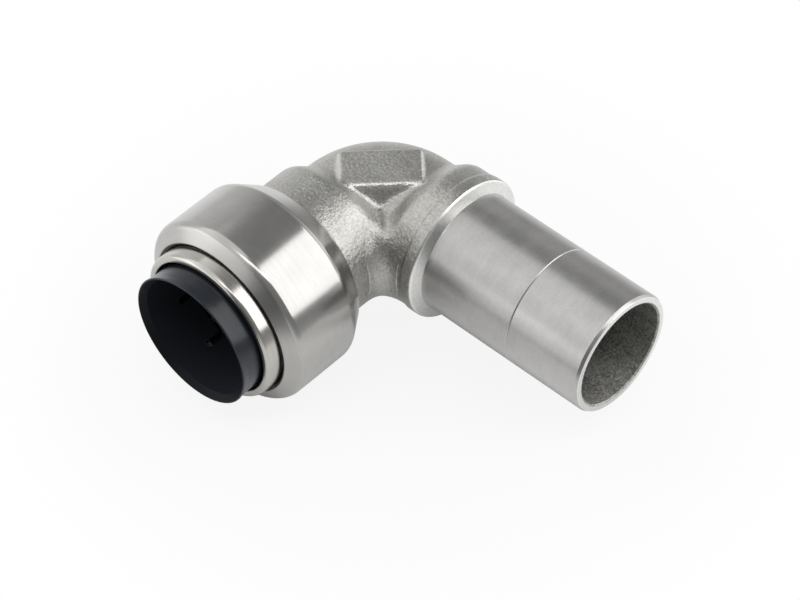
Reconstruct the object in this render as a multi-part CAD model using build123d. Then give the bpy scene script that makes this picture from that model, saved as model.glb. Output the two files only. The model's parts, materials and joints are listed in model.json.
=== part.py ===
from build123d import *
from math import cos, radians, sin, tan
import os

# A push-fit street elbow for 22 mm tube, in millimetres.
# The spigot leg runs along +X, the socket leg along -Y, and the flat pad is on the +Z side.
# Each piece is built about the elbow's centre, where the axes of the two legs cross.
# "Reach" is a distance from that centre along the axis of a leg.
# The finished pieces are moved so that the origin is where the tube's end stops in the socket.

# Tube that the fitting joins
tube_radius = 11.0

# Clearances between pieces
seat_gap = 0.05         # between pieces that are stacked or pressed together
ring_gap = 0.1          # round the outside of the loose rings
tube_gap = 0.05         # between the tube and what grips or seals it
tube_slip = 0.08        # between the tube and its guide bore

# Casting: the bend
bend_radius = 7.5       # of the centre line
bend_narrowing = 1.6    # of its bore inside the tube's outside
bend_wall = 1.65

# Casting: the thicker necks at both ends of the bend
neck_rise = 1.95        # above the bend
neck_round = 4.0
neck_hollow = 2.4       # radius of the hollow where a neck leaves the bend
neck_foot_round = 1.0   # where the socket's neck meets the housing's shoulder
neck_taper = radians(30)
spigot_neck_offset = 2.3    # from the end of the bend to the neck's taper
socket_neck_offset = 0.7
corner_round = 3.4      # of the inner corner, seen from above
corner_drop = 2.3       # how far the web in that corner stays below the necks
web_inset = 0.1         # of the web's section inside the necks

# Casting: the collar at the root of the spigot
root_rise = 0.2         # above the neck
root_offset = 6.9       # from the start of the neck
root_step = 0.4         # how far the step up to it runs along the spigot
root_length = 2.5
root_face = 0.7         # how far its sloping face runs along the spigot
root_round = 0.6

# Casting: the turned spigot
spigot_length = 34.5    # from the front of the root's collar
spigot_wall = 1.5
end_chamfer_length = 0.9
end_chamfer_depth = 0.4
bore_chamfer = 0.25
mark_from_end = 15.2    # the scribed ring round the spigot
mark_width = 0.36
mark_depth = 0.14

# Casting: the pad
pad_rise = 0.45         # above the bend
pad_front = 8.3         # along the diagonal of the inner corner
pad_back = 0.8
pad_width = 13.5
pad_shift = 0.4         # towards the spigot
pad_depth = 5.5         # from its top to where its sides end inside the bend
pad_front_slope = radians(30)
pad_side_slope = radians(12)
pad_round = 0.45
pad_corner = 0.9        # round of its four sloping corners
pad_steepest = 0.7      # of a pad edge's direction along Z, above which it is such a corner

# Casting: the socket's housing
stop_offset = 12.3      # from the start of the neck to the shoulder that the tube's end meets
guide_length = 5.4
guide_chamfer = 0.4
seal_chamber_length = 4.3
seal_chamber_depth = 3.0
ring_ledge = 1.6        # width of the ledge that the loose rings rest on
housing_wall = 0.98
shoulder_offset = 4.1   # from the tube's stop to the top of the housing's sloping shoulder
shoulder_slope = radians(35)
housing_chamfer = 0.4
rim_drop = 0.15         # of the housing's rim behind the spacer, so that the cap clamps the spacer

# Seal
seal_play = 0.01

# Loose rings in the housing, in the order in which they go in
washer_length = 2.3
washer_clearance = 0.3
tooth_count = 20
tooth_height = 2.5
tooth_slope = radians(35)
tooth_slot = 1.1
tooth_relief = 0.18     # between the teeth and the washer behind them
grab_thickness = 0.5
spacer_length = 3.0
spacer_wall = 1.7
spacer_chamfer = 0.3

# Steel guide ring
flange_thickness = 0.9
flange_width = 1.55
flange_round = 0.3
sleeve_length = 3.9     # in front of the flange
sleeve_wall = 1.15
sleeve_root_round = 0.55
sleeve_lip_round = 0.5
sleeve_mouth_round = 0.3

# Drawn steel cap
cap_wall = 0.8
cap_opening_gap = 1.05  # round the guide ring's sleeve
cap_front_slope = radians(56.6)
cap_front_round = 2.0
cap_rear_round = 0.9
cap_rear_lift = 1.0     # of the rear lip's inside edge above the neck
cap_front_gap = 0.1
cap_edge_round = 0.2

# Release collar
travel = 2.0
release_gap = 0.1       # between its nose and the teeth when it is pushed home
release_clearance = 0.25
barrel_wall = 0.85
barrel_projection = 4.0 # in front of the guide ring
lip_flare = 0.25
lip_length = 1.3
lead_in_depth = 0.75
lead_in_length = 1.1
lip_round = 0.15
barb_height = 1.4
barb_gap = 0.2
finger_count = 8
finger_slot = 1.2
finger_slot_end = 0.6   # how far the slots reach past the guide ring's flange

# Places along the spigot leg
spigot_neck_start = bend_radius + spigot_neck_offset
root_start = spigot_neck_start + root_offset
root_end = root_start + root_length
spigot_reach = root_end + spigot_length

# Places along the socket leg, which follow from the stack of pieces
socket_neck_start = bend_radius + socket_neck_offset
stop_reach = socket_neck_start + stop_offset
housing_shoulder = stop_reach + shoulder_offset
guide_end = stop_reach + guide_length
chamber_end = guide_end + seal_chamber_length
washer_start = chamber_end + seat_gap
washer_end = washer_start + washer_length
grab_start = washer_end + seat_gap
grab_end = grab_start + grab_thickness
spacer_start = grab_end + seat_gap
spacer_end = spacer_start + spacer_length
flange_start = spacer_end + seat_gap
flange_end = flange_start + flange_thickness
sleeve_end = flange_end + sleeve_length
mouth_reach = sleeve_end + barrel_projection
housing_end = spacer_end - rim_drop

# Radii, which follow from the tube and from what the pieces fit
spigot_bore = tube_radius - spigot_wall
bend_bore = tube_radius - bend_narrowing
bend_outside = bend_bore + bend_wall
neck_radius = bend_outside + neck_rise
root_radius = neck_radius + root_rise
guide_radius = tube_radius + tube_slip
seal_chamber_radius = tube_radius + seal_chamber_depth
counterbore_radius = seal_chamber_radius + ring_ledge
housing_radius = counterbore_radius + housing_wall
ring_radius = counterbore_radius - ring_gap
washer_bore = tube_radius + washer_clearance
tooth_tip = tube_radius + tube_gap
tooth_root = tube_radius + tooth_height
spacer_bore = ring_radius - spacer_wall
sleeve_radius = ring_radius - flange_width
sleeve_bore = sleeve_radius - sleeve_wall
cap_inside = housing_radius + seat_gap
cap_outside = cap_inside + cap_wall
cap_opening = sleeve_radius + cap_opening_gap
cap_rear_radius = neck_radius + cap_rear_lift
release_bore = tube_radius + release_clearance
barrel_radius = release_bore + barrel_wall
lip_radius = barrel_radius + lip_flare
barb_radius = barrel_radius + barb_height
seal_section = seal_chamber_radius - seal_play - tooth_tip

# Sizes of the casting that follow from those radii
corner_height = neck_radius - corner_drop
pad_height = bend_outside + pad_rise
pad_root = pad_height - pad_depth


def outline(*corners):
    """A closed flat outline. Each corner is (x, y) or (x, y, radius of its round)."""
    points = [(corner[0], corner[1]) for corner in corners]
    rounds = [corner[2] if len(corner) == 3 else 0 for corner in corners]
    return make_face(FilletPolyline(*points, radius=rounds, close=True))


def turned_on_spigot(*corners):
    """A solid turned about the spigot's axis. Each corner is (reach, radius, round)."""
    return revolve(outline(*corners), axis=Axis.X)


def turned_on_socket(*corners):
    """A solid turned about the socket's axis. Each corner is (reach, radius, round)."""
    swapped = [(corner[1], -corner[0], *corner[2:]) for corner in corners]
    return revolve(outline(*swapped), axis=Axis.Y)


def quarter_turn(section, radius):
    """Carry a section that stands across the socket leg round to the spigot leg."""
    centre = Axis((radius, -radius, 0), (0, 0, -1))
    return revolve(Plane.XZ.offset(radius) * section, axis=centre, revolution_arc=90)


def bend(radius):
    """A tight bend of round section, clipped where the section would pass its own centre."""
    side = 2 * (radius + bend_radius)
    keep = Pos(bend_radius - side / 2, 0) * Rectangle(side, side)
    return quarter_turn(Circle(radius) & keep, bend_radius)


def spigot_leg():
    taper_end = spigot_neck_start + (neck_radius - bend_outside) / tan(neck_taper)
    mark = spigot_reach - mark_from_end
    return turned_on_spigot(
        (bend_radius, 0),
        (bend_radius, bend_outside),
        (spigot_neck_start, bend_outside, neck_hollow),
        (taper_end, neck_radius, neck_round),
        (root_start, neck_radius),
        (root_start + root_step, root_radius),
        (root_end, root_radius, root_round),
        (root_end + root_face, tube_radius),
        (mark - mark_width / 2, tube_radius),
        (mark, tube_radius - mark_depth),
        (mark + mark_width / 2, tube_radius),
        (spigot_reach - end_chamfer_length, tube_radius),
        (spigot_reach, tube_radius - end_chamfer_depth),
        (spigot_reach, 0),
    )


def shoulder_reach(radius):
    """Where the sloping rear shoulder of the housing has the given radius."""
    return housing_shoulder - (housing_radius - radius) / tan(shoulder_slope)


def socket_leg():
    taper_end = socket_neck_start + (neck_radius - bend_outside) / tan(neck_taper)
    return turned_on_socket(
        (bend_radius, 0),
        (bend_radius, bend_outside),
        (socket_neck_start, bend_outside, neck_hollow),
        (taper_end, neck_radius, neck_round),
        (shoulder_reach(neck_radius), neck_radius, neck_foot_round),
        (housing_shoulder, housing_radius),
        (housing_end - housing_chamfer, housing_radius),
        (housing_end, housing_radius - housing_chamfer),
        (housing_end, 0),
    )


def corner_web():
    """The rounded web that fills the inner corner between the two necks."""
    width = neck_radius - web_inset
    return quarter_turn(Ellipse(width, corner_height), neck_radius + corner_round)


def pad():
    """The flat pad on top of the bend, with sloping sides and rounded edges."""
    front_spread = pad_depth * tan(pad_front_slope)
    side_spread = pad_depth * tan(pad_side_slope)

    def section(height, front, side):
        plane = Plane(origin=(0, 0, height), x_dir=(1, -1, 0), z_dir=(0, 0, 1))
        length = pad_front - pad_back + front + side
        middle = (pad_front + front + pad_back - side) / 2
        return plane * Pos(middle, pad_shift) * Rectangle(length, pad_width + 2 * side)

    block = loft([section(pad_root, front_spread, side_spread), section(pad_height, 0, 0)], ruled=True)
    uprights = block.edges().filter_by(lambda edge: abs(edge.tangent_at(0.5).Z) > pad_steepest)
    block = fillet(uprights, pad_corner)
    return fillet(block.faces().sort_by(Axis.Z)[-1].edges(), pad_round)


def waterway():
    """Everything that is bored or cored out of the casting."""
    spigot_side = turned_on_spigot(
        (bend_radius, 0),
        (bend_radius, bend_bore),
        (root_start, bend_bore),
        (root_end, spigot_bore),
        (spigot_reach - bore_chamfer, spigot_bore),
        (spigot_reach + bore_chamfer, spigot_bore + 2 * bore_chamfer),
        (spigot_reach + bore_chamfer, 0),
    )
    beyond = housing_end + seat_gap
    socket_side = turned_on_socket(
        (bend_radius, 0),
        (bend_radius, bend_bore),
        (stop_reach, bend_bore),
        (stop_reach, guide_radius),
        (guide_end - guide_chamfer, guide_radius),
        (guide_end, guide_radius + guide_chamfer),
        (guide_end, seal_chamber_radius),
        (chamber_end, seal_chamber_radius),
        (chamber_end, counterbore_radius),
        (beyond, counterbore_radius),
        (beyond, 0),
    )
    return bend(bend_bore) + spigot_side + socket_side


def elbow_body():
    casting = bend(bend_outside) + spigot_leg() + socket_leg() + corner_web() + pad()
    return casting - waterway()


def seal_ring():
    """A round rubber ring that lies on the tube and fills its chamber's depth."""
    chamber_middle = (guide_end + chamber_end) / 2
    return revolve(Pos(tooth_tip + seal_section / 2, -chamber_middle) * Circle(seal_section / 2), axis=Axis.Y)


def support_washer():
    """The plastic washer between the seal and the teeth, dished to clear the teeth."""
    tooth_rear = grab_thickness / cos(tooth_slope) + tooth_relief
    dish_root = tooth_root + (washer_end - grab_end + tooth_rear) / tan(tooth_slope)
    dish_depth = (dish_root - washer_bore) * tan(tooth_slope)
    return turned_on_socket(
        (washer_start, washer_bore),
        (washer_start, ring_radius),
        (washer_end, ring_radius),
        (washer_end, dish_root),
        (washer_end - dish_depth, washer_bore),
    )


def tooth_front(radius):
    """Where the front of the teeth has the given radius."""
    return grab_end - (tooth_root - radius) * tan(tooth_slope)


def grab_ring():
    """A spring steel ring whose teeth lean inwards and bite on the tube."""
    lean = grab_thickness / cos(tooth_slope)
    rear_root = tooth_root + (lean - grab_thickness) / tan(tooth_slope)
    ring = turned_on_socket(
        (grab_start, ring_radius),
        (grab_end, ring_radius),
        (grab_end, tooth_root),
        (tooth_front(tooth_tip), tooth_tip),
        (tooth_front(tooth_tip) - lean, tooth_tip),
        (grab_start, rear_root),
    )
    slot = Pos(tooth_root / 2, 0, 0) * Box(tooth_root, 2 * spacer_end, tooth_slot)
    slots = [Rot(0, 360 / tooth_count * index, 0) * slot for index in range(tooth_count)]
    return ring - slots


def spacer_ring():
    """The plastic ring that clamps the rim of the grab ring and makes room for the barbs."""
    return turned_on_socket(
        (spacer_start, spacer_bore),
        (spacer_start, ring_radius),
        (spacer_end - spacer_chamfer, ring_radius),
        (spacer_end, ring_radius - spacer_chamfer),
        (spacer_end, spacer_bore),
    )


def guide_ring():
    """The steel ring that the cap traps by its flange and that guides the release collar."""
    return turned_on_socket(
        (flange_start, sleeve_bore),
        (flange_start, ring_radius, flange_round),
        (flange_end, ring_radius, flange_round),
        (flange_end, sleeve_radius, sleeve_root_round),
        (sleeve_end, sleeve_radius, sleeve_lip_round),
        (sleeve_end, sleeve_bore, sleeve_mouth_round),
    )


def socket_cap():
    """The drawn cap, rolled over the flange in front and over the housing's shoulder behind."""
    front_lean = cap_wall / sin(cap_front_slope)
    rear_lean = cap_wall / sin(shoulder_slope)
    rear_fit = seat_gap / sin(shoulder_slope)

    def front_inside(radius):
        return flange_end + cap_front_gap + (ring_radius - radius) / tan(cap_front_slope)

    def rear_inside(radius):
        return shoulder_reach(radius) - rear_fit

    return turned_on_socket(
        (rear_inside(cap_rear_radius), cap_rear_radius),
        (rear_inside(cap_inside), cap_inside, cap_rear_round - cap_wall),
        (front_inside(cap_inside), cap_inside, cap_front_round - cap_wall),
        (front_inside(cap_opening), cap_opening, cap_edge_round),
        (front_inside(cap_opening) + front_lean, cap_opening, cap_edge_round),
        (front_inside(cap_outside) + front_lean, cap_outside, cap_front_round),
        (rear_inside(cap_outside) - rear_lean, cap_outside, cap_rear_round),
        (
            rear_inside(cap_rear_radius) - cap_wall * sin(shoulder_slope),
            cap_rear_radius + cap_wall * cos(shoulder_slope),
            cap_edge_round,
        ),
    )


def release_collar():
    """The plastic collar, with a flared mouth in front and barbed spring fingers behind."""
    barb_front = flange_start - barb_gap
    barb_back = tooth_front(barb_radius) + travel + release_gap
    nose = tooth_front(barrel_radius) + travel + release_gap
    barrel = turned_on_socket(
        (nose, release_bore),
        (nose, barrel_radius),
        (barb_back, barb_radius),
        (barb_front, barb_radius),
        (barb_front, barrel_radius),
        (mouth_reach - lip_length, barrel_radius, lip_length),
        (mouth_reach, lip_radius, lip_round),
        (mouth_reach, release_bore + lead_in_depth, lip_round),
        (mouth_reach - lead_in_length, release_bore),
    )
    slot_end = flange_end + finger_slot_end
    slot_length = slot_end - nose + travel
    slot = Pos(barb_radius, travel / 2 - (nose + slot_end) / 2, 0) * Box(
        barb_radius, slot_length, finger_slot
    )
    slots = [Rot(0, 360 / finger_count * (index + 0.5), 0) * slot for index in range(finger_count)]
    return barrel - slots


def piece(make):
    """A finished piece, moved from the elbow's centre to the tube's stop."""
    return Pos(0, stop_reach, 0) * make()


pieces = {
    "elbow_body": elbow_body,
    "seal_ring": seal_ring,
    "support_washer": support_washer,
    "grab_ring": grab_ring,
    "spacer_ring": spacer_ring,
    "guide_ring": guide_ring,
    "socket_cap": socket_cap,
    "release_collar": release_collar,
}

os.makedirs("parts", exist_ok=True)
for name, make in pieces.items():
    export_step(piece(make), f"parts/{name}.step")
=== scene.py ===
"""The finished look of a push-fit street elbow, built round its solid model.

The spigot leg points along +X, the socket leg along -Y and the flat pad along +Z.
"Reach" is a distance along the axis of a leg, from the elbow's centre where the two axes cross.
"""

import json
import math

import bpy
import numpy as np
from bpy.props import FloatProperty, FloatVectorProperty, IntProperty, PointerProperty
from bpy.types import Operator, Panel, PropertyGroup
from mathutils import Matrix, Vector


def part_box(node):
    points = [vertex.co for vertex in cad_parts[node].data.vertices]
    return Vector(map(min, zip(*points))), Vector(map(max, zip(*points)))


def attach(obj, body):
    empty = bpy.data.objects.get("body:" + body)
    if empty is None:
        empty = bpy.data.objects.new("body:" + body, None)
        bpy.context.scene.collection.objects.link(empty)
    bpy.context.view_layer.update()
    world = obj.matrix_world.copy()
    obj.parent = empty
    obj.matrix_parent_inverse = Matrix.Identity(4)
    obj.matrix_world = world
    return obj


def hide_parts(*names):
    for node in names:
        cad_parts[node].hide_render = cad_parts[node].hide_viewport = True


bl_info = {
    "name": "Push-Fit Street Elbow",
    "version": (1, 0, 0),
    "blender": (4, 5, 0),
    "location": "View3D > Sidebar > Street Elbow",
    "description": "Builds the finished look of a push-fit street elbow round its solid model",
    "category": "Object",
}

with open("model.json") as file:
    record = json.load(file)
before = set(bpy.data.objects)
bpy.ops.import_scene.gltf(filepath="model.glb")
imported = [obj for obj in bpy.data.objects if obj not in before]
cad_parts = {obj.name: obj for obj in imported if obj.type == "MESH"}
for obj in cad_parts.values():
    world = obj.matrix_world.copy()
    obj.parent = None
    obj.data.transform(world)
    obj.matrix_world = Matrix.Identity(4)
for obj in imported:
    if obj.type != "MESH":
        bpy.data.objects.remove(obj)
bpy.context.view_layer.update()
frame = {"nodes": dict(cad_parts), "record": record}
MM = 0.001

mounts = {mount["name"]: mount for mount in frame["record"]["mounts"]}
centre_y = mounts["spigot"]["pos_m"][1]
tube_radius = mounts["spigot"]["dims"]["r_mm"] * MM
spigot_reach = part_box("elbow_body")[1].x
housing_end = centre_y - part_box("elbow_body")[0].y
cap_front = centre_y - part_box("socket_cap")[0].y
cap_rear = centre_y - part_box("socket_cap")[1].y
cap_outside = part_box("socket_cap")[1].z
ring_front = centre_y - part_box("guide_ring")[0].y
ring_rear = centre_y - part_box("guide_ring")[1].y
ring_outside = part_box("guide_ring")[1].z
collar_front = centre_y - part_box("release_collar")[0].y


def length(name, description, default):
    """A property that holds a size in metres."""
    return FloatProperty(name=name, description=description, default=default, unit="LENGTH", precision=5)


def angle(name, description, degrees):
    """A property that holds an angle."""
    return FloatProperty(
        name=name, description=description, default=math.radians(degrees), subtype="ANGLE", unit="ROTATION"
    )


def share(name, description, default, top=1.0):
    """A property that holds a plain number from 0 up."""
    return FloatProperty(name=name, description=description, default=default, min=0.0, max=top)


def colour(name, description, default):
    """A property that holds a colour."""
    return FloatVectorProperty(
        name=name, description=description, default=default, size=3, subtype="COLOR", min=0.0, max=1.0
    )


class CastingSizes(PropertyGroup):
    bend_radius: length("Bend radius", "Radius of the bend's centre line", 7.5 * MM)
    bend_outside: length("Bend outside", "Radius of the bend's section", 11.05 * MM)
    bend_bore: length("Bend bore", "Radius of the waterway in the bend", 9.4 * MM)
    neck_radius: length("Neck radius", "Radius of the thicker necks beside the bend", 13.0 * MM)
    neck_taper: angle("Neck taper", "Slope of a neck where it leaves the bend", 33)
    spigot_neck: length("Spigot neck", "Reach at which the spigot's neck leaves the bend", 9.7 * MM)
    socket_neck: length("Socket neck", "Reach at which the socket's neck leaves the bend", 8.4 * MM)
    neck_clearance: length("Neck clearance", "How much later the necks start beside the pad", 1.2 * MM)
    corner_round: length("Inner corner", "Round of the inner corner, seen from above", 3.4 * MM)
    corner_blend: length("Corner blend", "Width over which the two necks run into each other", 4.2 * MM)
    pad_height: length("Pad height", "Height of the flat pad above the axes", 11.6 * MM)
    pad_front: length("Pad front", "Front edge of the pad, along the diagonal of the inner corner", 8.8 * MM)
    pad_back: length("Pad back", "Back edge of the pad, along the same diagonal", 0.8 * MM)
    pad_width: length("Pad width", "Width of the pad across that diagonal", 13.9 * MM)
    pad_root: length("Pad root", "Height at which the pad's walls end inside the bend", 6.0 * MM)
    pad_shift: length("Pad shift", "How far the pad lies towards the spigot", 0.3 * MM)
    pad_front_slope: angle("Pad front slope", "Lean of the pad's front wall", 30)
    pad_side_slope: angle("Pad side slope", "Lean of the pad's other walls", 12)
    pad_round: length("Pad round", "Round of the pad's edges", 0.4 * MM)
    blend: length("Blend", "Width over which the other cast forms run into each other", 0.5 * MM)
    root_start: length("Root start", "Reach at which the collar at the spigot's root starts", 16.7 * MM)
    root_step: length("Root step", "Length of the step up to that collar", 0.4 * MM)
    root_radius: length("Root radius", "Radius of that collar", 13.2 * MM)
    root_end: length("Root end", "Reach of that collar's front edge", 19.2 * MM)
    root_face: length("Root face", "How far the collar's front face runs along the spigot", 0.7 * MM)
    root_round: length("Root round", "Round of the collar's front edge", 0.6 * MM)
    spigot_bore: length("Spigot bore", "Radius of the spigot's bore", 9.5 * MM)
    mark_from_end: length("Mark", "Distance of the scribed ring from the spigot's end", 15.2 * MM)
    mark_width: length("Mark width", "Width of the scribed ring", 0.3 * MM)
    mark_depth: length("Mark depth", "Depth of the scribed ring", 0.1 * MM)
    end_chamfer_length: length("Chamfer length", "Length of the chamfer at the spigot's end", 0.6 * MM)
    end_chamfer_depth: length("Chamfer depth", "Depth of the chamfer at the spigot's end", 0.28 * MM)
    end_round: length("End round", "Round of the edges at the spigot's end", 0.12 * MM)
    bore_chamfer: length("Bore chamfer", "Chamfer of the bore's mouth", 0.25 * MM)
    stop_reach: length("Tube stop", "Reach of the shoulder that the tube's end meets", centre_y)
    guide_radius: length("Guide bore", "Radius of the bore that guides the tube", tube_radius + 0.08 * MM)
    guide_length: length("Guide length", "Length of that bore", 5.4 * MM)
    guide_chamfer: length("Guide chamfer", "Chamfer of that bore's mouth", 0.4 * MM)
    chamber_length: length("Seal chamber", "Length of the seal's chamber", 4.3 * MM)
    chamber_radius: length("Seal chamber radius", "Radius of the seal's chamber", 14.0 * MM)
    counterbore_radius: length("Counterbore", "Radius of the bore round the loose rings", 15.6 * MM)
    housing_radius: length("Housing radius", "Outside radius of the socket's housing", 16.58 * MM)
    housing_shoulder: length("Shoulder", "Reach of the top of the housing's shoulder", 24.6 * MM)
    shoulder_slope: angle("Shoulder slope", "Slope of that shoulder", 35)
    housing_chamfer: length("Rim chamfer", "Chamfer of the housing's rim", 0.4 * MM)


class CapSizes(PropertyGroup):
    wall: length("Wall", "Thickness of the drawn cap", 0.8 * MM)
    opening: length("Opening", "Radius of the opening round the guide ring", 14.5 * MM)
    front_slope: angle("Front slope", "Slope of the front cone", 56.6)
    front_round: length("Front round", "Outside round between the cone and the cylinder", 1.7 * MM)
    rear_slope: angle("Rear slope", "Slope of the rear bevel", 35)
    rear_round: length("Rear round", "Outside round between the cylinder and the rear bevel", 2.2 * MM)
    rear_radius: length("Rear lip", "Radius of the rear lip's inside edge", 14.0 * MM)
    edge_round: length("Edge round", "Round of the sheet's cut edges", 0.2 * MM)


class GuideRingSizes(PropertyGroup):
    sleeve_radius: length("Sleeve radius", "Outside radius of the sleeve", 13.95 * MM)
    sleeve_wall: length("Sleeve wall", "Thickness of the sleeve", 1.4 * MM)
    sleeve_length: length("Sleeve length", "Length of the sleeve in front of the flange", 3.9 * MM)
    flange_round: length("Flange round", "Round of the flange's edge", 0.3 * MM)
    root_round: length("Root round", "Round between the flange and the sleeve", 0.55 * MM)
    lip_round: length("Lip round", "Outside round of the sleeve's front edge", 0.8 * MM)
    mouth_round: length("Mouth round", "Inside round of the sleeve's front edge", 0.35 * MM)


class Finishes(PropertyGroup):
    cast_steel: colour("Cast steel", "Colour of the cast surface", (0.46, 0.455, 0.43))
    turned_steel: colour("Turned steel", "Colour of the turned spigot", (0.45, 0.445, 0.435))
    faced_steel: colour("Faced steel", "Colour of the faced root collar", (0.76, 0.76, 0.74))
    drawn_steel: colour("Drawn steel", "Colour of the drawn cap", (0.44, 0.435, 0.42))
    bright_steel: colour("Bright steel", "Colour of the guide ring", (0.50, 0.485, 0.455))
    spring_steel: colour("Spring steel", "Colour of the grab ring", (0.36, 0.36, 0.35))
    collar_plastic: colour("Collar plastic", "Colour of the release collar", (0.012, 0.014, 0.018))
    inner_plastic: colour("Inner plastic", "Colour of the washer and the spacer", (0.02, 0.02, 0.022))
    rubber: colour("Rubber", "Colour of the seal", (0.012, 0.012, 0.012))


class StudioSizes(PropertyGroup):
    azimuth: angle("Azimuth", "Direction of the camera round the object", 43.82)
    elevation: angle("Elevation", "Height of the camera above the horizon", 48.16)
    roll: angle("Roll", "Turn of the camera about its own axis", -1.14)
    distance: length("Distance", "Distance of the camera from the elbow's centre", 550.0 * MM)
    slide: length("Slide", "How far the camera stands to the right of the elbow's centre", 3.50 * MM)
    lift: length("Lift", "How far the camera stands above the elbow's centre in its own picture", -18.05 * MM)
    lens: FloatProperty(name="Lens", description="Focal length in millimetres", default=145.83)
    floor_radius: length("Floor radius", "Radius of the pale floor", 82.0 * MM)
    floor_x: length("Floor X", "Place of the floor's middle along the spigot", 16.0 * MM)
    floor_y: length("Floor Y", "Place of the floor's middle across the spigot", 12.0 * MM)
    floor_rings: IntProperty(name="Floor rings", description="Rings of faces in the floor", default=24)


def corner_profile(corners, arc_steps=7):
    """An open outline through corners of (reach, radius) or (reach, radius, round).

    Each corner with a round becomes the arc that touches both its neighbours' lines. The arc's centre lies
    on the corner's bisector, at the round's radius over the sine of half the corner's angle, and its points
    are the directions to the two touching points, turned evenly from one to the other.
    """
    points = np.array([corner[:2] for corner in corners])
    rounds = np.array([corner[2] if len(corner) == 3 else 0.0 for corner in corners])
    before = np.roll(points, 1, axis=0) - points
    after = np.roll(points, -1, axis=0) - points
    before /= np.linalg.norm(before, axis=1, keepdims=True)
    after /= np.linalg.norm(after, axis=1, keepdims=True)
    corner_angle = np.arccos(np.clip((before * after).sum(1), -0.999999, 0.999999))
    bisector = before + after
    bisector /= np.maximum(np.linalg.norm(bisector, axis=1, keepdims=True), 1e-9)
    centres = points + bisector * (rounds / np.sin(corner_angle / 2))[:, None]
    reach = (rounds / np.tan(corner_angle / 2))[:, None]
    from_centre = points + before * reach - centres
    to_centre = points + after * reach - centres
    turn = np.pi - corner_angle
    steps = np.linspace(0, 1, arc_steps)[None, :, None]
    spread = turn[:, None, None]
    arcs = from_centre[:, None] * np.sin((1 - steps) * spread) + to_centre[:, None] * np.sin(steps * spread)
    arcs = centres[:, None] + arcs / np.sin(spread)
    arcs = np.where((rounds > 0)[:, None, None], arcs, points[:, None])
    arcs = arcs.reshape(-1, 2)
    moved = np.linalg.norm(np.diff(arcs, axis=0), axis=1) > 1e-8
    return arcs[np.append(True, moved)]


def around(count):
    """Evenly spaced angles round a ring. Angle zero is the outside of the bend."""
    return np.linspace(0, 2 * np.pi, count, endpoint=False)


def rings_on_spigot(profile, count=288):
    """Carry (reach, radius) points round the spigot's axis: (reach, radius cos, radius sin)."""
    turn = around(count)[None, :]
    reach, radius = profile[:, :1], profile[:, 1:]
    flat = np.zeros_like(turn)
    return np.stack([reach + flat, centre_y + radius * np.cos(turn), radius * np.sin(turn)], -1)


def rings_on_socket(profile, count=288):
    """Carry (reach, radius) points round the socket's axis: (-radius cos, -reach, radius sin)."""
    turn = around(count)[None, :]
    reach, radius = profile[:, :1], profile[:, 1:]
    flat = np.zeros_like(turn)
    return np.stack([-radius * np.cos(turn), centre_y - reach + flat, radius * np.sin(turn)], -1)


def closed_object(name, rings, body, nodes):
    """One closed mesh from a grid of rings that is joined to itself both ways.

    Each face is the four neighbours of the grid. The signed volume, a sixth of the sum of each triangle's
    triple product, shows whether the faces point outwards, and they are turned if they don't.
    """
    ring_count, per_ring = rings.shape[:2]
    index = np.arange(ring_count * per_ring).reshape(ring_count, per_ring)
    next_ring = np.roll(index, -1, axis=0)
    faces = np.stack([index, np.roll(index, -1, axis=1), np.roll(next_ring, -1, axis=1), next_ring], -1)
    faces = faces.reshape(-1, 4)
    points = rings.reshape(-1, 3)
    corner = points[faces]
    triple = np.cross(corner[:, 1], corner[:, 2]) + np.cross(corner[:, 2], corner[:, 3])
    if (corner[:, 0] * triple).sum() < 0:
        faces = faces[:, ::-1]
    mesh = bpy.data.meshes.new(name)
    mesh.vertices.add(len(points))
    mesh.vertices.foreach_set("co", points.ravel())
    mesh.loops.add(faces.size)
    mesh.loops.foreach_set("vertex_index", faces.ravel())
    mesh.polygons.add(len(faces))
    mesh.polygons.foreach_set("loop_start", np.arange(0, faces.size, 4))
    mesh.polygons.foreach_set("use_smooth", np.ones(len(faces), bool))
    mesh.update(calc_edges=True)
    mesh.validate()
    mesh.set_sharp_from_angle(angle=math.radians(32))
    piece = bpy.data.objects.new(name, mesh)
    bpy.context.scene.collection.objects.link(piece)
    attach(piece, body)
    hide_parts(*nodes)
    return piece


def distance_to_path(point, bend_radius):
    """Distance to the elbow's centre line: the socket's axis, a quarter circle, the spigot's axis."""
    x, y, z = point[..., 0], point[..., 1], point[..., 2]
    to_arc = np.hypot(np.hypot(x - bend_radius, y + bend_radius) - bend_radius, z)
    to_spigot = np.where(x >= bend_radius, np.hypot(y, z), np.inf)
    to_socket = np.where(y <= -bend_radius, np.hypot(x, z), np.inf)
    to_arc = np.where((x < bend_radius) & (y > -bend_radius), to_arc, np.inf)
    return np.minimum(to_arc, np.minimum(to_spigot, to_socket))


def soft_union(one, other, blend):
    """The lower of two distances, rounded where they are nearly equal."""
    near = np.clip(1 - np.abs(one - other) / blend, 0, 1)
    return np.minimum(one, other) - near * near * blend / 4


def soft_cut(one, other, blend):
    """The higher of two distances, rounded where they are nearly equal."""
    return -soft_union(-one, -other, blend)


def neck_distance(reach, side, height, start, sizes):
    """Distance to a neck: a cone that rises from the bend, cut by the neck's cylinder.

    The cone starts later where the neck passes the pad, by the clearance times the fourth power of the
    height over the radius.
    """
    slope = sizes.neck_taper
    radius = np.hypot(side, height)
    start = start + sizes.neck_clearance * (height / np.maximum(radius, MM)) ** 4
    top = start + (sizes.neck_radius - sizes.bend_outside) / math.tan(slope)
    cone = (radius - sizes.neck_radius + (top - reach) * math.tan(slope)) * math.cos(slope)
    return soft_cut(cone, radius - sizes.neck_radius, sizes.blend)


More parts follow.
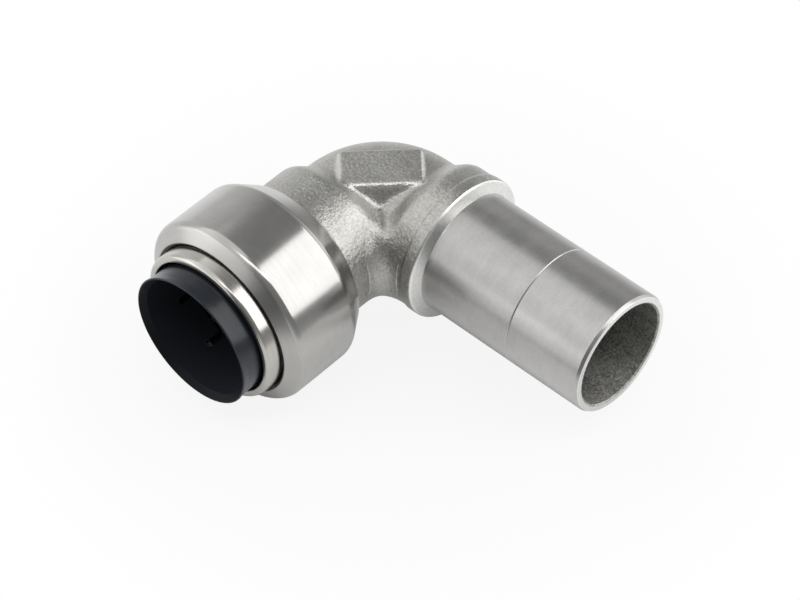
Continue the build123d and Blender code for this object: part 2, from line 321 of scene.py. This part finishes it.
def pad_distance(point, sizes):
    """Distance to the pad: a flat top cut by four leaning walls, and ended below inside the bend."""
    along = (point[..., 0] - point[..., 1]) / math.sqrt(2)
    across = (point[..., 0] + point[..., 1]) / math.sqrt(2) - sizes.pad_shift
    depth = sizes.pad_height - point[..., 2]
    front_lean, side_lean = math.tan(sizes.pad_front_slope), math.tan(sizes.pad_side_slope)
    front = (along - sizes.pad_front - depth * front_lean) * math.cos(sizes.pad_front_slope)
    back = (sizes.pad_back - along - depth * side_lean) * math.cos(sizes.pad_side_slope)
    side = (np.abs(across) - sizes.pad_width / 2 - depth * side_lean) * math.cos(sizes.pad_side_slope)
    walls = soft_cut(soft_cut(front, side, sizes.pad_round), back, sizes.pad_round)
    walls = np.maximum(walls, sizes.pad_root - point[..., 2])
    return soft_cut(walls, -depth, sizes.pad_round)


def casting_distance(point, sizes):
    """Distance to the outside of the bend, its two necks and the pad, all run together."""
    x, y, z = point[..., 0], point[..., 1], point[..., 2]
    bend = distance_to_path(point, sizes.bend_radius) - sizes.bend_outside
    spigot_neck = neck_distance(x, y, z, sizes.spigot_neck, sizes)
    socket_neck = neck_distance(-y, x, z, sizes.socket_neck, sizes)
    necks = soft_union(spigot_neck, socket_neck, sizes.corner_blend)
    return soft_union(soft_union(bend, necks, sizes.blend), pad_distance(point, sizes), sizes.blend)


def bore_distance(point, sizes):
    """Distance to the waterway in the bend."""
    return distance_to_path(point, sizes.bend_radius) - sizes.bend_bore


def smoothed(values, passes):
    """Average a grid with its neighbours, round each ring and from ring to ring."""
    for _ in range(passes):
        values = (np.roll(values, 1, axis=1) + 2 * values + np.roll(values, -1, axis=1)) / 4
        padded = np.pad(values, ((1, 1), (0, 0)), mode="edge")
        values = (padded[:-2] + 2 * values + padded[2:]) / 4
    return values


def fan_rings(distance, sizes, end_radius, steps, passes, count=288):
    """Rings of the bend, in half planes that turn about an upright axis in the inner corner.

    Each ring's middle follows the elbow's centre line. From there a ray goes out at every angle round the
    ring, and halving an interval twenty-six times finds where the distance to the shape is zero. The found
    radii are smoothed, and run into the round necks at both ends.
    """
    corner = sizes.neck_radius + sizes.corner_round
    swing = np.linspace(0, np.pi / 2, steps + 2)[1:-1][:, None]
    bulge = math.sqrt(2) * (corner - sizes.bend_radius) + sizes.bend_radius - corner
    middle = corner + bulge * np.sin(2 * swing) ** 2
    turn = around(count)[None, :]

    def place(radius):
        out = middle + radius * np.cos(turn)
        return np.stack([corner - out * np.cos(swing), out * np.sin(swing) - corner, radius * np.sin(turn)], -1)

    low = np.full((steps, count), sizes.bend_bore * 0.8)
    high = np.repeat(middle - 0.5 * MM, count, axis=1)
    for _ in range(26):
        half = (low + high) / 2
        outside = distance(place(half), sizes) > 0
        low, high = np.where(outside, low, half), np.where(outside, half, high)
    radius = smoothed(low, passes)
    ends = np.clip(np.minimum(swing, np.pi / 2 - swing) / 0.12, 0, 1)
    ends = ends * ends * (3 - 2 * ends)
    rings = place(end_radius + (radius - end_radius) * ends)
    return rings + np.array([0, centre_y, 0])


class Value:
    """A number in a shader. Arithmetic on it adds Math nodes."""

    def __init__(self, finish, socket):
        self.finish = finish
        self.socket = socket

    def maths(self, operation, *others):
        values = dict(enumerate((self,) + others))
        return self.finish.node("ShaderNodeMath", {"operation": operation}, values)

    def __add__(self, other):
        return self.maths("ADD", other)

    def __radd__(self, other):
        return self.maths("ADD", other)

    def __sub__(self, other):
        return self.maths("SUBTRACT", other)

    def __rsub__(self, other):
        return self.maths("MULTIPLY", -1.0).maths("ADD", other)

    def __mul__(self, other):
        return self.maths("MULTIPLY", other)

    def __rmul__(self, other):
        return self.maths("MULTIPLY", other)

    def __gt__(self, other):
        return self.maths("GREATER_THAN", other)

    def __pow__(self, other):
        return self.maths("POWER", other)

    def sine(self):
        return self.maths("SINE")

    def rise(self, low, high):
        """From 0 below low to 1 above high, with a soft start and end."""
        settings = {"interpolation_type": "SMOOTHSTEP"}
        return self.finish.node("ShaderNodeMapRange", settings, {"Value": self, "From Min": low, "From Max": high})


class Finish:
    """A shader tree, to which nodes are added one by one."""

    def __init__(self, owner):
        owner.use_nodes = True
        self.tree = owner.node_tree
        self.tree.nodes.clear()

    def node(self, kind, settings=None, sockets=None, output=0):
        """Add a node: its settings first, then the values or links of its sockets."""
        made = self.tree.nodes.new(kind)
        for name, value in (settings or {}).items():
            setattr(made, name, value)
        for key, value in (sockets or {}).items():
            if isinstance(value, Value):
                self.tree.links.new(value.socket, made.inputs[key])
            else:
                made.inputs[key].default_value = value
        return Value(self, made.outputs[output]) if made.outputs else None

    def places(self):
        """The three Object coordinates, and the vector of them."""
        vector = self.node("ShaderNodeTexCoord", output="Object")
        split = self.node("ShaderNodeSeparateXYZ", sockets={"Vector": vector}).socket.node
        return vector, [Value(self, socket) for socket in split.outputs]

    def stretched(self, vector, scale):
        """The coordinates scaled differently along each axis."""
        return self.node("ShaderNodeMapping", sockets={"Vector": vector, "Scale": scale})

    def noise(self, vector, scale, detail=2.0, roughness=0.5):
        sockets = {"Vector": vector, "Scale": scale, "Detail": detail, "Roughness": roughness}
        return self.node("ShaderNodeTexNoise", {"noise_dimensions": "3D"}, sockets)

    def mixed(self, factor, one, other):
        """A colour between two colours."""
        return self.node("ShaderNodeMix", {"data_type": "RGBA"}, {0: factor, 6: one, 7: other}, output=2)

    def bump(self, height, depth, strength=1.0, under=None):
        sockets = {"Height": height, "Distance": depth, "Strength": strength}
        if under is not None:
            sockets["Normal"] = under
        return self.node("ShaderNodeBump", sockets=sockets)

    def surface(self, **sockets):
        """Finish with one Principled shader, whose sockets are named with underscores."""
        named = {name.replace("_", " "): value for name, value in sockets.items()}
        shader = self.node("ShaderNodeBsdfPrincipled", sockets=named)
        self.node("ShaderNodeOutputMaterial", sockets={"Surface": shader})


def material(name):
    made = bpy.data.materials.new(name)
    return made, Finish(made)


def shade(colour, factor):
    """A colour made darker or lighter, with full alpha."""
    return tuple(min(1.0, part * factor) for part in colour) + (1.0,)


def cast_steel(finishes, sizes):
    """Pickled and blasted casting: a strong grain of small pits, patches of tone, and a painted highlight on the pad's
    edges.

    The painted highlight, lighter and a little smoother, lies on the points near the pad's outline: across is
    half the pad's width, or along is its front, where along and across run with the two sides of the pad.
    """
    made, finish = material("cast_steel")
    vector, (x, y, z) = finish.places()
    y = y - centre_y
    along = (x - y) * math.sqrt(0.5)
    across = ((x + y) * math.sqrt(0.5) - sizes.pad_shift).maths("ABSOLUTE")
    half = sizes.pad_width / 2
    beside = 1.0 - (across - (half + 0.2 * MM)).maths("ABSOLUTE").rise(0.2 * MM, 0.6 * MM)
    beside = beside * along.rise(sizes.pad_back - 0.5 * MM, sizes.pad_back + 0.5 * MM)
    beside = beside * (1.0 - along.rise(sizes.pad_front, sizes.pad_front + 0.6 * MM))
    before = 1.0 - (along - (sizes.pad_front + 0.1 * MM)).maths("ABSOLUTE").rise(0.2 * MM, 0.55 * MM)
    before = before * (1.0 - across.rise(half, half + 0.5 * MM))
    # Painted highlight: a lighter base colour and a little less roughness along the pad's top edges.
    pad_edge_highlight = (beside + before) * z.rise(sizes.pad_height - 1.2 * MM, sizes.pad_height - 0.7 * MM)
    grain = finish.noise(vector, 2600, 3.0, 0.65)
    pits = finish.noise(vector, 1700, 2.0, 0.6)
    waves = finish.noise(vector, 220, 2.0, 0.5)
    patches = finish.noise(vector, 130, 3.0, 0.6)
    tone = grain.rise(0.3, 0.7) * 0.55 + patches.rise(0.3, 0.7) * 0.35 + pad_edge_highlight * 0.6
    base = finish.mixed(tone, shade(finishes.cast_steel, 0.68), shade(finishes.cast_steel, 1.3))
    rough = 0.24 + grain * 0.18 + patches * 0.08 - pad_edge_highlight * 0.07
    normal = finish.bump(waves, 0.25 * MM, 0.5)
    normal = finish.bump(pits, 0.16 * MM, 0.7, normal)
    normal = finish.bump(grain, 0.07 * MM, 0.7, normal)
    finish.surface(Base_Color=base, Metallic=1.0, Roughness=rough, Normal=normal)
    return made


def bore_steel(finishes):
    """Inside of the waterway: dull, with dark specks and lighter rubbed spots."""
    made, finish = material("bore_steel")
    vector, _ = finish.places()
    specks = finish.noise(vector, 2500, 4.0, 0.7)
    patches = finish.noise(finish.stretched(vector, (0.4, 1.0, 1.0)), 400, 3.0, 0.6)
    tone = specks.rise(0.38, 0.66) * 0.7 + patches.rise(0.3, 0.7) * 0.3
    base = finish.mixed(tone, shade(finishes.cast_steel, 0.45), shade(finishes.cast_steel, 1.35))
    rough = 0.45 + specks * 0.25
    normal = finish.bump(specks, 0.13 * MM, 0.8)
    finish.surface(Base_Color=base, Metallic=1.0, Roughness=rough, Normal=normal)
    return made


def faced_steel(finishes):
    """Faced front of the collar at the spigot's root: pale and finely scored round the axis."""
    made, finish = material("faced_steel")
    vector, _ = finish.places()
    grain = finish.noise(vector, 2200, 3.0, 0.6)
    base = finish.mixed(grain.rise(0.3, 0.7), shade(finishes.faced_steel, 0.92), shade(finishes.faced_steel, 1.06))
    rough = 0.26 + grain * 0.1
    finish.surface(Base_Color=base, Metallic=1.0, Roughness=rough, Normal=finish.bump(grain, 0.015 * MM, 0.4))
    return made


def turned_steel(finishes):
    """Turned spigot: fine lines round it over a satin ground, with cloudy patches from handling."""
    made, finish = material("turned_steel")
    vector, _ = finish.places()
    lines = finish.noise(finish.stretched(vector, (1.0, 0.05, 0.05)), 5000, 3.0, 0.6)
    bands = finish.noise(finish.stretched(vector, (1.0, 0.12, 0.12)), 700, 2.0, 0.5)
    clouds = finish.noise(vector, 190, 4.0, 0.65)
    grain = finish.noise(vector, 3400, 2.0, 0.6)
    tone = lines.rise(0.3, 0.7) * 0.25 + bands.rise(0.3, 0.7) * 0.1 + grain.rise(0.3, 0.7) * 0.3
    tone = tone + clouds.rise(0.3, 0.7) * 0.35
    base = finish.mixed(tone, shade(finishes.turned_steel, 0.88), shade(finishes.turned_steel, 1.16))
    rough = 0.2 + clouds * 0.1 + bands * 0.05 + grain * 0.06
    normal = finish.bump(lines + grain * 0.8, 0.02 * MM, 0.6)
    finish.surface(Base_Color=base, Metallic=1.0, Roughness=rough, Normal=normal)
    return made


def drawn_steel(finishes):
    """Drawn cap: smooth, with faint lines round it and a slightly duller tone on the front cone."""
    made, finish = material("drawn_steel")
    vector, (_, y, _) = finish.places()
    lines = finish.noise(finish.stretched(vector, (0.03, 1.0, 0.03)), 3600, 3.0, 0.6)
    haze = finish.noise(vector, 260, 3.0, 0.55)
    grain = finish.noise(vector, 3000, 2.0, 0.6)
    tone = lines * 0.5 + haze * 0.5
    base = finish.mixed(tone.rise(0.3, 0.7), shade(finishes.drawn_steel, 0.95), shade(finishes.drawn_steel, 1.04))
    cone = (-1.0 * y).rise(cap_front - centre_y - 2.6 * MM, cap_front - centre_y - 1.2 * MM)
    rough = 0.13 + haze * 0.06 + cone * 0.12 + grain * 0.03
    normal = finish.bump(lines + grain * 0.4, 0.006 * MM, 0.5)
    finish.surface(Base_Color=base, Metallic=1.0, Roughness=rough, Normal=normal)
    return made


def bright_steel(finishes):
    """Guide ring: bright turned steel with very fine lines."""
    made, finish = material("bright_steel")
    vector, _ = finish.places()
    lines = finish.noise(finish.stretched(vector, (0.03, 1.0, 0.03)), 4200, 3.0, 0.6)
    haze = finish.noise(vector, 400, 2.0, 0.5)
    base = finish.mixed(lines.rise(0.3, 0.7), shade(finishes.bright_steel, 0.95), shade(finishes.bright_steel, 1.04))
    rough = 0.14 + haze * 0.08
    normal = finish.bump(lines, 0.006 * MM, 0.5)
    finish.surface(Base_Color=base, Metallic=1.0, Roughness=rough, Normal=normal)
    return made


def spring_steel(finishes):
    """Grab ring: stamped spring steel with a rolled grain."""
    made, finish = material("spring_steel")
    vector, _ = finish.places()
    grain = finish.noise(finish.stretched(vector, (1.0, 1.0, 0.15)), 1800, 3.0, 0.6)
    base = finish.mixed(grain.rise(0.3, 0.7), shade(finishes.spring_steel, 0.85), shade(finishes.spring_steel, 1.1))
    finish.surface(Base_Color=base, Metallic=1.0, Roughness=0.24 + grain * 0.12, Normal=finish.bump(grain, 0.01 * MM))
    return made


def moulded_plastic(name, colour, ground):
    """Moulded plastic: an even black with a very fine grain and faint flow marks."""
    made, finish = material(name)
    vector, _ = finish.places()
    grain = finish.noise(vector, 2800, 2.0, 0.5)
    flow = finish.noise(finish.stretched(vector, (1.0, 0.3, 1.0)), 160, 3.0, 0.6)
    base = finish.mixed(flow.rise(0.3, 0.7), shade(colour, 0.85), shade(colour, 1.15))
    rough = ground + flow * 0.08 + grain * 0.05
    finish.surface(Base_Color=base, Roughness=rough, IOR=1.5, Normal=finish.bump(grain, 0.01 * MM, 0.4))
    return made


def collar_plastic(finishes):
    """Release collar: blue-black plastic, smooth outside, dull in the mouth's lead-in and in the bore, with painted
    shade darkening the lead-in and painted light lifting the bore.

    A point is inside where its radius, plus up to the lead-in's depth behind the mouth, is less than the
    radius halfway through the mouth's edge.
    """
    made, finish = material("collar_plastic")
    vector, (x, y, z) = finish.places()
    radius = ((x * x) + (z * z)) ** 0.5
    behind_mouth = y + (collar_front - centre_y)
    outside = (radius + 0.68 * MM * behind_mouth.rise(0.0, 1.1 * MM)).rise(12.1 * MM, 12.24 * MM)
    grain = finish.noise(vector, 2800, 2.0, 0.5)
    flow = finish.noise(finish.stretched(vector, (1.0, 0.3, 1.0)), 160, 3.0, 0.6)
    # Painted shade and light: the lead-in is painted darker than the plastic, and the bore lighter.
    lead_in_painted_shade, bore = shade(finishes.collar_plastic, 0.6), shade(finishes.collar_plastic, 1.6)
    inside = finish.mixed(behind_mouth.rise(0.9 * MM, 1.3 * MM), lead_in_painted_shade, bore)
    ground = finish.mixed(flow.rise(0.3, 0.7), shade(finishes.collar_plastic, 0.8), shade(finishes.collar_plastic, 1.2))
    base = finish.mixed(outside, inside, ground)
    rough = 0.42 - 0.14 * outside + flow * 0.08 + grain * 0.04
    normal = finish.bump(grain, 0.01 * MM, 0.4)
    coat = {"Coat_Weight": 0.05 + 0.7 * outside, "Coat_Roughness": 0.24, "Coat_Tint": (0.8, 0.9, 1.0, 1.0)}
    finish.surface(Base_Color=base, Roughness=rough, IOR=1.5, Specular_IOR_Level=0.08, Normal=normal, **coat)
    return made


def seal_rubber(finishes):
    """Seal: dull rubber with a dusting of grease."""
    made, finish = material("seal_rubber")
    vector, _ = finish.places()
    grain = finish.noise(vector, 1500, 3.0, 0.6)
    base = finish.mixed(grain.rise(0.3, 0.7), shade(finishes.rubber, 0.8), shade(finishes.rubber, 1.4))
    finish.surface(Base_Color=base, Roughness=0.5 + grain * 0.15, Normal=finish.bump(grain, 0.01 * MM, 0.5))
    return made


def give(piece, made):
    """Put one material on every slot of a piece."""
    if not piece.material_slots:
        piece.data.materials.append(made)
    for slot in piece.material_slots:
        slot.material = made


class StreetElbowSettings(PropertyGroup):
    casting: PointerProperty(type=CastingSizes)
    cap: PointerProperty(type=CapSizes)
    guide_ring: PointerProperty(type=GuideRingSizes)
    finishes: PointerProperty(type=Finishes)
    studio: PointerProperty(type=StudioSizes)


def spigot_profile(sizes, start):
    """The spigot leg, from the neck over the end and back through the bore."""
    mark = spigot_reach - sizes.mark_from_end
    chamfered = tube_radius - sizes.end_chamfer_depth
    return corner_profile([
        (start, sizes.neck_radius),
        (sizes.root_start, sizes.neck_radius, 1.0 * MM),
        (sizes.root_start + sizes.root_step, sizes.root_radius, 0.6 * MM),
        (sizes.root_end, sizes.root_radius, sizes.root_round),
        (sizes.root_end + sizes.root_face, tube_radius, 0.12 * MM),
        (mark - sizes.mark_width / 2, tube_radius, 0.05 * MM),
        (mark, tube_radius - sizes.mark_depth),
        (mark + sizes.mark_width / 2, tube_radius, 0.05 * MM),
        (spigot_reach - sizes.end_chamfer_length, tube_radius, sizes.end_round),
        (spigot_reach, chamfered, sizes.end_round),
        (spigot_reach, sizes.spigot_bore + sizes.bore_chamfer, sizes.end_round),
        (spigot_reach - sizes.bore_chamfer, sizes.spigot_bore),
        (sizes.root_end, sizes.spigot_bore),
        (sizes.root_start, sizes.bend_bore),
        (start, sizes.bend_bore),
    ])


def socket_profile(sizes, start):
    """The socket leg, from the waterway through the housing's steps and back over its outside."""
    guide_end = sizes.stop_reach + sizes.guide_length
    chamber_end = guide_end + sizes.chamber_length
    rise = sizes.housing_radius - sizes.neck_radius
    shoulder_foot = sizes.housing_shoulder - rise / math.tan(sizes.shoulder_slope)
    return corner_profile([
        (start, sizes.bend_bore),
        (sizes.stop_reach, sizes.bend_bore),
        (sizes.stop_reach, sizes.guide_radius),
        (guide_end - sizes.guide_chamfer, sizes.guide_radius),
        (guide_end, sizes.guide_radius + sizes.guide_chamfer),
        (guide_end, sizes.chamber_radius),
        (chamber_end, sizes.chamber_radius),
        (chamber_end, sizes.counterbore_radius),
        (housing_end, sizes.counterbore_radius),
        (housing_end, sizes.housing_radius - sizes.housing_chamfer),
        (housing_end - sizes.housing_chamfer, sizes.housing_radius),
        (sizes.housing_shoulder, sizes.housing_radius),
        (shoulder_foot, sizes.neck_radius, 1.0 * MM),
        (start, sizes.neck_radius),
    ])


class STREET_ELBOW_OT_casting(Operator):
    """Build the casting: bend, necks, web, pad, spigot and the socket's housing"""

    bl_idname = "street_elbow.casting"
    bl_label = "Casting"

    def execute(self, context):
        settings = context.scene.street_elbow
        sizes = settings.casting
        start = sizes.neck_radius + sizes.corner_round
        spigot = rings_on_spigot(spigot_profile(sizes, start))
        socket = rings_on_socket(socket_profile(sizes, start))
        bore = fan_rings(bore_distance, sizes, sizes.bend_bore, 70, 3)[::-1]
        outside = fan_rings(casting_distance, sizes, sizes.neck_radius, 180, 2)
        rings = np.concatenate([spigot, bore, socket, outside])
        piece = closed_object("casting", rings, "fitting", ["elbow_body"])
        piece.data.materials.append(cast_steel(settings.finishes, sizes))
        for make in (faced_steel, turned_steel, bore_steel):
            piece.data.materials.append(make(settings.finishes))
        waterway_end = len(spigot) + len(bore)
        order = np.arange(len(rings))
        reach = rings[:, 0, 0]
        kinds = np.zeros(len(rings), np.int32)
        on_spigot = order < len(spigot)
        kinds[on_spigot & (reach > sizes.root_end - sizes.root_round / 2)] = 1
        kinds[on_spigot & (reach > sizes.root_end + sizes.root_face / 2)] = 2
        kinds[on_spigot & (reach > spigot_reach - sizes.bore_chamfer / 2)] = 1
        past_end = order > order[on_spigot][np.argmax(reach[on_spigot])]
        kinds[past_end & (order <= waterway_end)] = 3
        piece.data.polygons.foreach_set("material_index", np.repeat(kinds, rings.shape[1]))
        return {"FINISHED"}


class STREET_ELBOW_OT_cap(Operator):
    """Build the drawn cap round the socket"""

    bl_idname = "street_elbow.cap"
    bl_label = "Socket cap"

    def execute(self, context):
        settings = context.scene.street_elbow
        sizes = settings.cap
        inside = cap_outside - sizes.wall
        front, rear = math.tan(sizes.front_slope), math.tan(sizes.rear_slope)
        front_lean = sizes.wall / math.sin(sizes.front_slope)
        rear_lean = sizes.wall / math.sin(sizes.rear_slope)
        front_shoulder = cap_front - (cap_outside - sizes.opening) / front
        lip_reach = cap_rear + sizes.wall * math.sin(sizes.rear_slope)
        lip_outside = sizes.rear_radius + sizes.wall * math.cos(sizes.rear_slope)
        rear_shoulder = cap_rear + (cap_outside - lip_outside) / rear
        profile = corner_profile([
            (lip_reach, sizes.rear_radius),
            (rear_shoulder + rear_lean - sizes.wall / rear, inside, sizes.rear_round - sizes.wall),
            (front_shoulder - front_lean + sizes.wall / front, inside, sizes.front_round - sizes.wall),
            (cap_front - front_lean, sizes.opening, sizes.edge_round),
            (cap_front, sizes.opening, sizes.edge_round),
            (front_shoulder, cap_outside, sizes.front_round),
            (rear_shoulder, cap_outside, sizes.rear_round),
            (cap_rear, lip_outside, sizes.edge_round),
        ], arc_steps=13)
        piece = closed_object("cap", rings_on_socket(profile), "fitting", ["socket_cap"])
        give(piece, drawn_steel(settings.finishes))
        return {"FINISHED"}


class STREET_ELBOW_OT_guide_ring(Operator):
    """Build the bright ring that stands out of the cap"""

    bl_idname = "street_elbow.guide_ring"
    bl_label = "Guide ring"

    def execute(self, context):
        settings = context.scene.street_elbow
        sizes = settings.guide_ring
        flange_front = ring_front - sizes.sleeve_length
        bore = sizes.sleeve_radius - sizes.sleeve_wall
        profile = corner_profile([
            (ring_rear, bore),
            (ring_rear, ring_outside, sizes.flange_round),
            (flange_front, ring_outside, sizes.flange_round),
            (flange_front, sizes.sleeve_radius, sizes.root_round),
            (ring_front, sizes.sleeve_radius, sizes.lip_round),
            (ring_front, bore, sizes.mouth_round),
        ], arc_steps=9)
        piece = closed_object("bright_ring", rings_on_socket(profile), "fitting", ["guide_ring"])
        give(piece, bright_steel(settings.finishes))
        return {"FINISHED"}


class STREET_ELBOW_OT_plastic_and_rubber(Operator):
    """Finish the release collar, the washer, the spacer, the seal and the grab ring"""

    bl_idname = "street_elbow.plastic_and_rubber"
    bl_label = "Collar and inner rings"

    def execute(self, context):
        finishes = context.scene.street_elbow.finishes
        inner = moulded_plastic("inner_plastic", finishes.inner_plastic, 0.4)
        give(frame["nodes"]["release_collar"], collar_plastic(finishes))
        give(frame["nodes"]["support_washer"], inner)
        give(frame["nodes"]["spacer_ring"], inner)
        give(frame["nodes"]["seal_ring"], seal_rubber(finishes))
        give(frame["nodes"]["grab_ring"], spring_steel(finishes))
        return {"FINISHED"}


def camera_axes(studio):
    """The camera's right, up and backward directions, and its place."""
    turn, tilt = studio.azimuth, studio.elevation
    back = Vector((math.sin(turn) * math.cos(tilt), -math.cos(turn) * math.cos(tilt), math.sin(tilt)))
    level = Vector((math.cos(turn), math.sin(turn), 0))
    upright = back.cross(level)
    right = level * math.cos(studio.roll) + upright * math.sin(studio.roll)
    up = upright * math.cos(studio.roll) - level * math.sin(studio.roll)
    place = Vector((0, centre_y, 0)) + back * studio.distance + right * studio.slide + up * studio.lift
    return right, up, back, place


def softbox(name, direction, along, size, radiance):
    """An area light that faces the object from a direction, longer along the second direction.

    Its size is in metres at half a metre from the object, and its strength is the brightness of its surface.
    """
    back = Vector(direction).normalized()
    across = back.cross(Vector(along)).normalized()
    place = Vector((0, centre_y, 0)) + back * 0.5
    light = bpy.data.lights.new(name, "AREA")
    light.shape = "RECTANGLE"
    light.size, light.size_y = size
    light.energy = radiance * size[0] * size[1] * math.pi
    lamp = bpy.data.objects.new(name, light)
    turned = Matrix((across.cross(back), across, back)).transposed().to_4x4()
    lamp.matrix_world = Matrix.Translation(place) @ turned
    lamp.visible_camera = False
    bpy.context.scene.collection.objects.link(lamp)


class STREET_ELBOW_OT_studio(Operator):
    """Set the camera, the pale floor and the soft lights"""

    bl_idname = "street_elbow.studio"
    bl_label = "Studio"

    def execute(self, context):
        scene = context.scene
        studio = scene.street_elbow.studio
        scene.view_settings.view_transform = "Standard"

        camera_data = bpy.data.cameras.new("camera")
        camera_data.sensor_width = 36.0
        camera_data.lens = studio.lens
        camera_data.clip_end = 5.0
        camera = bpy.data.objects.new("camera", camera_data)
        right, up, back, place = camera_axes(studio)
        turned = Matrix((right, up, back)).transposed().to_4x4()
        camera.matrix_world = Matrix.Translation(place) @ turned
        scene.collection.objects.link(camera)
        scene.camera = camera

        floor_level = -cap_outside
        rings = np.linspace(0.02, 1, studio.floor_rings)[:, None] * studio.floor_radius
        turn = around(96)[None, :]
        along, across = rings * np.cos(turn) + studio.floor_x, rings * np.sin(turn) + studio.floor_y
        points = np.stack([along, across, np.full_like(along, floor_level)], -1)
        index = np.arange(points[..., 0].size).reshape(points.shape[:2])
        inner, outer = index[:-1], index[1:]
        faces = np.stack([inner, outer, np.roll(outer, -1, axis=1), np.roll(inner, -1, axis=1)], -1).reshape(-1, 4)
        mesh = bpy.data.meshes.new("floor")
        mesh.from_pydata(points.reshape(-1, 3).tolist(), [], faces.tolist() + [index[0].tolist()])
        floor = bpy.data.objects.new("floor", mesh)
        scene.collection.objects.link(floor)
        made, finish = material("floor")
        vector, (x, y, _) = finish.places()
        paths = finish.node("ShaderNodeLightPath").socket.node.outputs
        seen = Value(finish, paths["Is Camera Ray"])
        mirrored = Value(finish, paths["Is Glossy Ray"]) + Value(finish, paths["Is Transmission Ray"])
        side, ahead = y - centre_y, centre_y - y
        # Painted shadow: beneath the spigot and the socket, reflections see less of the floor's glow, so the floor
        # looks darker there.
        under_spigot = (1.0 - side.maths("ABSOLUTE").rise(6.0 * MM, 15.0 * MM)) * x.rise(8.0 * MM, 16.0 * MM)
        under_socket = (1.0 - x.maths("ABSOLUTE").rise(8.0 * MM, 18.0 * MM)) * ahead.rise(8.0 * MM, 16.0 * MM)
        painted_shadow_beneath = (under_spigot + under_socket).maths("MINIMUM", 1.0)
        x, y = x - studio.floor_x, y - studio.floor_y
        outer = ((x * x) + (y * y)) ** 0.5
        outer = outer.rise(0.5 * studio.floor_radius, 0.98 * studio.floor_radius)
        white = finish.node("ShaderNodeEmission", sockets={"Color": (1, 1, 1, 1), "Strength": 1.0})
        plain = finish.node("ShaderNodeBsdfDiffuse", sockets={"Color": (0.8, 0.8, 0.8, 1)})
        share_seen = 0.87 + 0.13 * outer
        share_mirrored = 0.4 + 0.6 * outer + 0.5 * (1.0 - outer) * x.rise(-6.0 * MM, 29.0 * MM)
        share_mirrored = share_mirrored * (1.0 - 0.85 * painted_shadow_beneath)
        factor = seen * share_seen + (1.0 - seen) * mirrored * share_mirrored
        mixed = finish.node("ShaderNodeMixShader", sockets={0: factor, 1: plain, 2: white})
        finish.node("ShaderNodeOutputMaterial", sockets={"Surface": mixed})
        give(floor, made)

        world = bpy.data.worlds.new("studio")
        scene.world = world
        finish = Finish(world)
        direction = finish.node("ShaderNodeTexCoord", output="Generated")
        split = finish.node("ShaderNodeSeparateXYZ", sockets={"Vector": direction}).socket.node
        x, y, z = (Value(finish, socket) for socket in split.outputs)
        paths = finish.node("ShaderNodeLightPath").socket.node.outputs
        front = (-1.0 * y).rise(0.7, 0.95)
        left = (-1.0 * x).rise(0.45, 0.95)
        right = x.rise(0.6, 0.85) * z.rise(-0.35, -0.15)
        behind = y.rise(0.6, 0.8) * z.rise(-0.15, 0.4) * (1.0 - z.rise(0.45, 0.8))
        above = 0.32 + 0.55 * left + 0.2 * behind - 0.18 * front
        below = 1.05 - 0.9 * front - 0.6 * right - 0.55 * y.rise(0.8, 0.97)
        glow = y.rise(0.84, 0.97) * x.rise(-0.2, 0.1) * 1.1
        level = below + (above - below) * z.rise(-0.12, 0.02) + glow
        shown = Value(finish, paths["Is Camera Ray"])
        level = level * (1.0 - shown) + shown
        background = finish.node("ShaderNodeBackground", sockets={"Color": (1, 1, 1, 1), "Strength": level})
        finish.node("ShaderNodeOutputWorld", sockets={"Surface": background})

        softbox("key", (0.66, 0.48, 0.58), (-0.58, 0.0, 0.66), (0.58, 0.46), 1.95)
        softbox("fill", (-0.46, -0.40, 0.75), (0.0, 0.88, 0.47), (0.96, 0.62), 0.72)
        softbox("side", (-0.55, -0.82, 0.11), (-0.82, 0.55, 0.0), (0.58, 0.25), 0.95)
        softbox("strip", (0.25, -0.26, 0.93), (0.7, 0.7, 0.0), (0.5, 0.12), 2.4)
        return {"FINISHED"}


class STREET_ELBOW_PT_panel(Panel):
    bl_label = "Street Elbow"
    bl_idname = "STREET_ELBOW_PT_panel"
    bl_space_type = "VIEW_3D"
    bl_region_type = "UI"
    bl_category = "Street Elbow"

    def draw(self, context):
        for operator in operators:
            self.layout.operator(operator.bl_idname)


operators = (
    STREET_ELBOW_OT_casting,
    STREET_ELBOW_OT_cap,
    STREET_ELBOW_OT_guide_ring,
    STREET_ELBOW_OT_plastic_and_rubber,
    STREET_ELBOW_OT_studio,
)
groups = (CastingSizes, CapSizes, GuideRingSizes, Finishes, StudioSizes, StreetElbowSettings)


def register():
    for kind in groups + operators + (STREET_ELBOW_PT_panel,):
        bpy.utils.register_class(kind)
    bpy.types.Scene.street_elbow = PointerProperty(type=StreetElbowSettings)


def unregister():
    del bpy.types.Scene.street_elbow
    for kind in reversed(groups + operators + (STREET_ELBOW_PT_panel,)):
        bpy.utils.unregister_class(kind)


def main():
    register()
    bpy.ops.street_elbow.casting()
    bpy.ops.street_elbow.cap()
    bpy.ops.street_elbow.guide_ring()
    bpy.ops.street_elbow.plastic_and_rubber()
    bpy.ops.street_elbow.studio()


if __name__ == "__main__":
    main()
